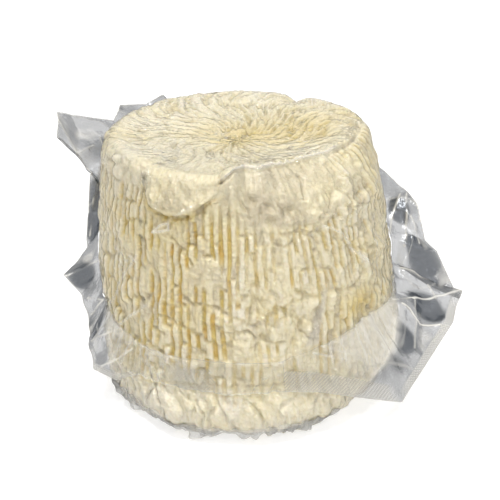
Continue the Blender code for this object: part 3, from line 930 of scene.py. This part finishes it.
LEFT_CREASES = metres((
    (0.8, 2, 6, ((-72.5, 0.69), (-65.9, 0.06))), (0.8, -2, 6, ((-65.9, 0.06), (-69.2, 0.86))),
    (0.7, 2, 6, ((-81.5, 1), (-80, 0.05))), (0.8, 1.5, 6, ((-60, 0.73), (-53.6, 0.16), (-50, 0))),
    (0.7, 1.5, 6, ((-59.5, 0.69), (-59.3, 0.02))),
    (0.8, 1.5, 6, ((-53.3, 0.98), (-48.1, 0.65), (-42.1, 0.22))),
    (0.5, 3, 10, ((-108, 1), (-104.9, 0.63), (-112, 0.45))),
    (0.6, 2, 6, ((-116.8, 0.55), (-113.9, 0.29), (-101.4, 0.35), (-91.5, 0.71))),
), 1, 2)
MARGIN_PIECES = (  # name, first and last azimuth, rows, greyness, creases, and seals as
    # (milkiness, depth from the cut edge, first and last azimuth)
    ("fin_right", 14, 152, 56, 0.9, RIGHT_CREASES, ((0.22, 0.011, 10, 49), (0.3, 0.005, 47, 84))),
    ("fin_left", -158, -38, 50, 0.9, LEFT_CREASES, ((0.3, 0.004, -60, -38),)),
    ("seal_front", -38, 14, 30, 0.0, SEAL_CREASES, ((0.02, 0.012, -28, -9),)),
    ("margin_back", 152, 202, 24, 0.5),
    ("gathered_film", -64, 36, 14, 0.5, (), (), gather_ends),
)


# ---- finishes


class Value:
    """A socket whose arithmetic adds Math nodes to its finish."""

    def __init__(self, finish, socket):
        self.finish = finish
        self.socket = socket

    def math(self, operation, *others, swapped=False):
        sockets = (*others, self) if swapped else (self, *others)
        return self.finish.node("ShaderNodeMath", {"operation": operation}, dict(enumerate(sockets)))

    def __add__(self, other):
        return self.math("ADD", other)

    def __sub__(self, other):
        return self.math("SUBTRACT", other)

    def __rsub__(self, other):
        return self.math("SUBTRACT", other, swapped=True)

    def __mul__(self, other):
        return self.math("MULTIPLY", other)

    __radd__, __rmul__ = __add__, __mul__

    def held(self):
        """The value, held between 0 and 1."""
        return self.finish.node("ShaderNodeClamp", {}, {"Value": self})


class Finish:
    """A material and the nodes that it is made of."""

    def __init__(self, name):
        self.material = bpy.data.materials.new(name)
        self.material.use_nodes = True
        self.tree = self.material.node_tree
        self.tree.nodes.clear()

    def node(self, kind, settings, sockets, output=0):
        """Adds a node: first its settings, then its sockets' values or links."""
        node = self.tree.nodes.new(kind)
        for name, value in settings.items():
            setattr(node, name, value)
        for name, value in sockets.items():
            if isinstance(value, Value):
                self.tree.links.new(value.socket, node.inputs[name])
            else:
                node.inputs[name].default_value = value
        return None if output is None else Value(self, node.outputs[output])

    def noise(self, scale, detail=2.0, roughness=0.5):
        sockets = {"Vector": self.node("ShaderNodeTexCoord", {}, {}, "Object"), "Scale": scale}
        return self.node("ShaderNodeTexNoise", {}, sockets | {"Detail": detail, "Roughness": roughness})

    def ripple(self):
        """The shallow waves of tight film."""
        return self.noise(330, 3, 0.6) + self.noise(110, 2) * 1.5

    def bump(self, height, strength, distance):
        return self.node("ShaderNodeBump", {}, {"Height": height, "Strength": strength, "Distance": distance})

    def fresnel(self, index, bump):
        return self.node("ShaderNodeFresnel", {}, {"IOR": index, "Normal": bump})

    def mix(self, share, first, second):
        """A colour between two others, each a value or three numbers."""
        first, second = (v if isinstance(v, Value) else rgba(v) for v in (first, second))
        return self.node("ShaderNodeMix", {"data_type": "RGBA"}, {0: share, 6: first, 7: second}, 2)

    def split(self, kind, whole):
        """The parts of a vector or a colour."""
        outputs = self.node(kind, {}, {0: whole}).socket.node.outputs
        return [Value(self, output) for output in outputs]

    def tint(self):
        """The three channels of the piece's tint."""
        colour = self.node("ShaderNodeAttribute", {"attribute_name": "tint"}, {})
        return self.split("ShaderNodeSeparateColor", colour)

    def surface(self, sockets, share=None):
        """The finished material: a principled shader, or a share of it over nothing."""
        shader = self.node("ShaderNodeBsdfPrincipled", {}, sockets)
        if share is not None:
            clear = self.node("ShaderNodeBsdfTransparent", {}, {"Color": (1, 1, 1, 1)})
            shader = self.node("ShaderNodeMixShader", {}, {0: share.held(), 1: clear, 2: shader})
        self.node("ShaderNodeOutputMaterial", {}, {"Surface": shader}, None)
        return self.material


def rgba(colour):
    """A colour with full alpha."""
    return tuple(colour) + (1.0,)


MOTTLE = (0.55, 0.5, 0.38)  # darker specks of the curd
DOT_PITCH = 0.0017  # from row to row of the seals' dots, in both directions
FLOOR_SECOND = (0.56, 0.56, 0.56)  # the floor's faint mottling
FLOOR_GLOW = 0.6


def curd_finish(colours):
    """Cream curd: paler where the tone is high, golden to amber in the grooves, mottled. Where
    the tone is low a browner colour is mixed in: painted shade in the wrinkles' valleys, the
    cracks, along edges and on the sloping face, and darker curd at random."""
    finish = Finish("ricotta_curd")
    gold, amber, tone = finish.tint()
    broad, fine = finish.noise(38, 3), finish.noise(420, 3)
    base = finish.mix((broad * 1.6 - 0.3).held(), colours.cream, colours.butter)
    for share, shade in (
        (tone * 2 - 1, colours.pale),
        (gold * 0.95 + (fine - 0.5) * 0.25 * gold, colours.gold),
        (amber * 1.1, colours.amber),
        # a low tone brings in the browner colour: painted shade, and darker curd at random
        (0.9 - tone * 1.8, colours.shade_and_dark_curd),
    ):
        base = finish.mix(share.held(), base, shade)
    base = finish.mix((fine * 0.5 - 0.1).held(), base, finish.mix(0.25, base, MOTTLE))
    relief = finish.noise(800, 3) * 0.5 + finish.noise(300, 3)
    return finish.surface(
        {
            "Base Color": base,
            "Roughness": 0.48,
            "Normal": finish.bump(relief, 1, 0.001),
            "Subsurface Weight": 0.18,
            "Subsurface Radius": (0.0016, 0.0011, 0.0006),
            "Subsurface Scale": 1,
        }
    )


def film_finish(colours):
    """The clinging film: clear, mirror-bright where it turns away or a crease stands up, and milky
    white where its tint is high: along creases, partly a painted highlight, and as painted
    highlights along the skin's edge and in thin lines.
    """
    finish = Finish("clinging_film")
    milk_and_highlight = finish.tint()[0]
    bump = finish.bump(finish.ripple() + finish.noise(800, 2) * 0.7, 1, 0.001)
    metal = (1 - milk_and_highlight * 1.4).held()
    gloss = {"Base Color": rgba(colours.film_milk_and_highlight), "Roughness": 0.13, "Metallic": metal, "Normal": bump}
    return finish.surface(gloss, finish.fresnel(1.48, bump) * 0.66 + milk_and_highlight * 0.5)


def margin_finish(colours):
    """The margin's film: greyer where it stands free, milky along creases and seals, with
    rows of small dots, sin(kx) sin(ky), pressed into its seals. The creases' milky lines are
    partly painted highlights, the dots' crests are painted milky white as glints, and pale noise
    patches on the grey film are painted glare."""
    finish = Finish("margin_film")
    milk_and_highlight, haze, dots = finish.tint()
    flat = finish.node("ShaderNodeUVMap", {"uv_map": "margin"}, {})
    along, across, _ = finish.split("ShaderNodeSeparateXYZ", flat)
    pitch = 2 * math.pi / DOT_PITCH
    rows = (along * pitch).math("SINE") * (across * pitch).math("SINE")
    bump = finish.bump(finish.ripple() + rows * dots * 1.2, 0.8, 0.0006)
    # painted glints: the crests of the seals' dots turn milky white
    milk_and_highlight = milk_and_highlight + (rows * dots - 0.35).held() * 1.6
    patch = (finish.noise(48, 1) * 5 - 1.6 - (haze * 10 - 9).held() * 2).held()
    # painted highlight: pale patches of the milky colour where the film is grey
    painted_glare = (finish.noise(85, 1) * 6 - 3.6).held() * haze
    tone = finish.mix(patch, colours.film_dark, colours.film_grey)
    tone = finish.mix(painted_glare * 0.6, tone, colours.film_milk_and_highlight)
    tone = finish.mix((milk_and_highlight + (1 - haze) * 0.8).held(), tone, colours.film_milk_and_highlight)
    metal = (haze * 0.25).held()
    gloss = {"Base Color": tone, "Roughness": 0.22, "Metallic": metal, "Normal": bump, "IOR": 1.6}
    share = haze * (0.7 - patch * 0.24) + 0.03 + milk_and_highlight * 0.35 + finish.fresnel(1.4, bump) * 0.3
    return finish.surface(gloss, share)


def floor_finish(colours):
    """A pale floor, faintly mottled, with a glow that keeps it white."""
    finish = Finish("pale_floor")
    tone = finish.mix(finish.noise(3, 2), colours.floor, FLOOR_SECOND)
    glow = {"Emission Color": (1, 1, 1, 1), "Emission Strength": FLOOR_GLOW}
    return finish.surface({"Base Color": tone, "Roughness": 0.75, **glow})


# ---- settings


def length(name, default, description):
    """A length, in metres."""
    kind = {"unit": "LENGTH", "precision": 4}
    return bpy.props.FloatProperty(name=name, default=default, description=description, **kind)


def colour(name, default, description):
    """A colour without alpha."""
    kind = {"subtype": "COLOR", "size": 3, "min": 0, "max": 1}
    return bpy.props.FloatVectorProperty(name=name, default=default, description=description, **kind)


class RicottaSizes(bpy.types.PropertyGroup):
    """Sizes of the round"""

    height: length("Height", HEIGHT, "Foot to rim")
    belly_radius: length("Belly radius", 0.076, "Radius at the widest")
    belly_height: length("Belly height", 0.024, "Height of the widest")
    rim_radius: length("Rim radius", 0.0655, "Radius just below the rim")
    rim_rounding: length("Rim rounding", 0.006, "Rounding of the rim")
    foot_rounding: length("Foot rounding", 0.015, "Rounding of the foot")
    dish_depth: length("Dish depth", 0.007, "How far the top sinks in its middle")
    top_lean: length("Top lean", -0.0025, "How far the top stands to the right of the foot")
    rib_count: bpy.props.IntProperty(name="Ribs", default=RIBS, description="Ribs of the basket")
    rib_depth: length("Rib depth", 0.002, "Depth of the grooves between ribs")


class RicottaColours(bpy.types.PropertyGroup):
    """Colours of the curd, the film and the floor"""

    cream: colour("Cream", (0.79, 0.745, 0.61), "The curd")
    butter: colour("Butter", (0.78, 0.705, 0.47), "Yellower curd")
    pale: colour("Pale", (0.8, 0.76, 0.67), "The ribs")
    gold: colour("Gold", (0.68, 0.53, 0.155), "The grooves")
    amber: colour("Amber", (0.72, 0.47, 0.1), "The deepest grooves")
    # painted shade in valleys, cracks and along edges, which also darkens the curd at random
    shade_and_dark_curd: colour("Crevice", (0.49, 0.425, 0.31), "The valleys of the wrinkles")
    # milky film where it is folded or sealed, and the colour of the painted highlights and glare on the film
    film_milk_and_highlight: colour("Film milk", (0.81, 0.785, 0.72), "Where film is folded or sealed")
    film_grey: colour("Film grey", (0.19, 0.2, 0.215), "Film that stands free")
    film_dark: colour("Film dark", (0.06, 0.07, 0.085), "Darker patches of that film")
    floor: colour("Floor", (0.54, 0.54, 0.54), "The floor")


class RicottaStage(bpy.types.PropertyGroup):
    """Camera and light"""

    distance: length("Distance", 0.55, "From the round's axis to the camera, along the floor")
    camera_height: length("Camera height", 0.3064, "Height of the camera")
    shift_right: length("Shift right", 0.003, "How far right of the axis the camera stands")
    tilt: bpy.props.FloatProperty(
        name="Tilt", default=math.radians(66.1), subtype="ANGLE", description="Camera tilt"
    )
    lens: bpy.props.FloatProperty(name="Lens", default=86.26, description="Focal length in millimetres")


class RicottaOperator:
    """What the operators share: the user's settings"""

    bl_options = {"REGISTER", "UNDO"}

    @property
    def sizes(self):
        return bpy.context.scene.ricotta_sizes

    @property
    def colours(self):
        return bpy.context.scene.ricotta_colours


class RICOTTA_OT_round(RicottaOperator, bpy.types.Operator):
    """Makes the ribbed curd"""

    bl_idname = "ricotta.round"
    bl_label = "Ricotta round"

    def execute(self, context):
        skin, counts = turned_skin(self.sizes)
        followed, bridged, masks = curd_relief(skin, self.sizes)
        points, tint = placed(skin, self.sizes, followed + bridged), tints(skin, self.sizes, masks)
        material = curd_finish(self.colours)
        piece = mesh_piece("ricotta_round", points, ring_faces(counts), tint, material)
        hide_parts(SOLID)
        return {"FINISHED"}


class RICOTTA_OT_clinging_film(RicottaOperator, bpy.types.Operator):
    """Makes the film that clings to the curd"""

    bl_idname = "ricotta.clinging_film"
    bl_label = "Clinging film"

    def execute(self, context):
        skin, counts = turned_skin(self.sizes)
        followed, bridged, _ = curd_relief(skin, self.sizes)
        rise, milk_and_highlight = film_creases(skin)
        points = placed(skin, self.sizes, followed + FILM_DIPS * bridged + rise + FILM_GAP)
        tint = np.column_stack([milk_and_highlight, 0 * milk_and_highlight, 0 * milk_and_highlight])
        mesh_piece("clinging_film", points, ring_faces(counts), tint, film_finish(self.colours))
        return {"FINISHED"}


class RICOTTA_OT_margin(RicottaOperator, bpy.types.Operator):
    """Makes the bag's margin: a fin on each side, the seal in front, the back and the film at the foot"""

    bl_idname = "ricotta.margin"
    bl_label = "Bag margin"

    def execute(self, context):
        material = margin_finish(self.colours)
        for stretch in MARGIN_PIECES:
            margin_piece(self.sizes, material, *stretch)
        return {"FINISHED"}


class RICOTTA_OT_stage(RicottaOperator, bpy.types.Operator):
    """Makes the floor, the lights and the camera"""

    bl_idname = "ricotta.stage"
    bl_label = "Stage"

    def execute(self, context):
        scene = context.scene
        stage = scene.ricotta_stage
        make_floor(self.colours)
        make_lights(scene)
        camera = linked("camera", bpy.data.cameras.new("camera"))
        camera.data.lens = stage.lens
        camera.data.clip_start = 0.01
        camera.location = (stage.shift_right, -stage.distance, stage.camera_height)
        camera.rotation_euler = (stage.tilt, 0, 0)
        scene.camera = camera
        scene.view_settings.view_transform = "Standard"
        return {"FINISHED"}


FLOOR_REACH = 3  # from the round's axis to each side
FLOOR_CELLS = 12  # along each side
FLOOR_DROP = 0.0004  # how far it lies under the round
WORLD_LIGHT = 0.78
SUN = 1.75, math.radians(5), (math.radians(15), 0, math.radians(-28))  # strength, angle, turn
LIGHTS = (  # name, place, size, watts, colour
    ("key", (0.16, -0.6, 0.62), 0.1, 1.0, (1, 0.99, 0.97)),
    ("front", (0.1, -1.0, 0.3), 0.6, 0.9, (1, 0.99, 0.97)),
    ("fill", (0.65, -0.5, 0.45), 0.25, 0.45, (0.97, 0.98, 1)),
    ("back", (0.1, 0.75, 0.65), 0.4, 0.9, (1, 1, 1)),
)
LIT_HEIGHT = 0.06  # height on the round's axis that they aim at


def make_floor(colours):
    """A flat square grid under the round."""
    rows = FLOOR_CELLS + 1
    x, y = (np.indices((rows, rows)).reshape(2, -1) / FLOOR_CELLS * 2 - 1) * FLOOR_REACH
    mesh = bpy.data.meshes.new("floor")
    points, faces = np.column_stack([x, y, 0 * x - FLOOR_DROP]), grid_quads(rows, rows)[:, ::-1]
    mesh.from_pydata(points.tolist(), [], faces.tolist())
    mesh.materials.append(floor_finish(colours))
    linked("floor", mesh)


def make_lights(scene):
    """An even world, a sun nearly overhead, and square lamps that aim at the round."""
    world = bpy.data.worlds.new("studio")
    world.use_nodes = True
    background = world.node_tree.nodes["Background"].inputs
    background["Color"].default_value = (1, 1, 1, 1)
    background["Strength"].default_value = WORLD_LIGHT
    scene.world = world
    sun = bpy.data.lights.new("sky_light", "SUN")
    sun.energy, sun.angle, turn = SUN
    linked("sky_light", sun).rotation_euler = turn
    for name, place, size, power, tint in LIGHTS:
        light = bpy.data.lights.new(name, "AREA")
        light.size, light.energy, light.color = size, power, tint
        lamp = linked(name, light)
        lamp.location = place
        x, y, z = np.array([0, 0, LIT_HEIGHT]) - place
        lamp.rotation_euler = (math.atan2(math.hypot(x, y), -z), 0, math.atan2(y, x) - math.pi / 2)


class RICOTTA_PT_panel(bpy.types.Panel):
    """Lists the round's pieces and settings"""

    bl_label = "Ricotta round"
    bl_space_type = "VIEW_3D"
    bl_region_type = "UI"
    bl_category = "Ricotta"

    def draw(self, context):
        for maker in OPERATORS:
            self.layout.operator(maker.bl_idname)
        for place in GROUPS:
            group = getattr(context.scene, place)
            for name in group.__annotations__:
                self.layout.prop(group, name)


OPERATORS = (RICOTTA_OT_round, RICOTTA_OT_clinging_film, RICOTTA_OT_margin, RICOTTA_OT_stage)
GROUPS = {"ricotta_sizes": RicottaSizes, "ricotta_colours": RicottaColours, "ricotta_stage": RicottaStage}


def register():
    for group in GROUPS.values():
        bpy.utils.register_class(group)
    for name, group in GROUPS.items():
        setattr(bpy.types.Scene, name, bpy.props.PointerProperty(type=group))
    for thing in OPERATORS + (RICOTTA_PT_panel,):
        bpy.utils.register_class(thing)


def unregister():
    for thing in (RICOTTA_PT_panel,) + OPERATORS[::-1]:
        bpy.utils.unregister_class(thing)
    for name, group in GROUPS.items():
        delattr(bpy.types.Scene, name)
        bpy.utils.unregister_class(group)


def main():
    register()
    for maker in OPERATORS:
        family, name = maker.bl_idname.split(".")
        getattr(getattr(bpy.ops, family), name)()


if __name__ == "__main__":
    main()
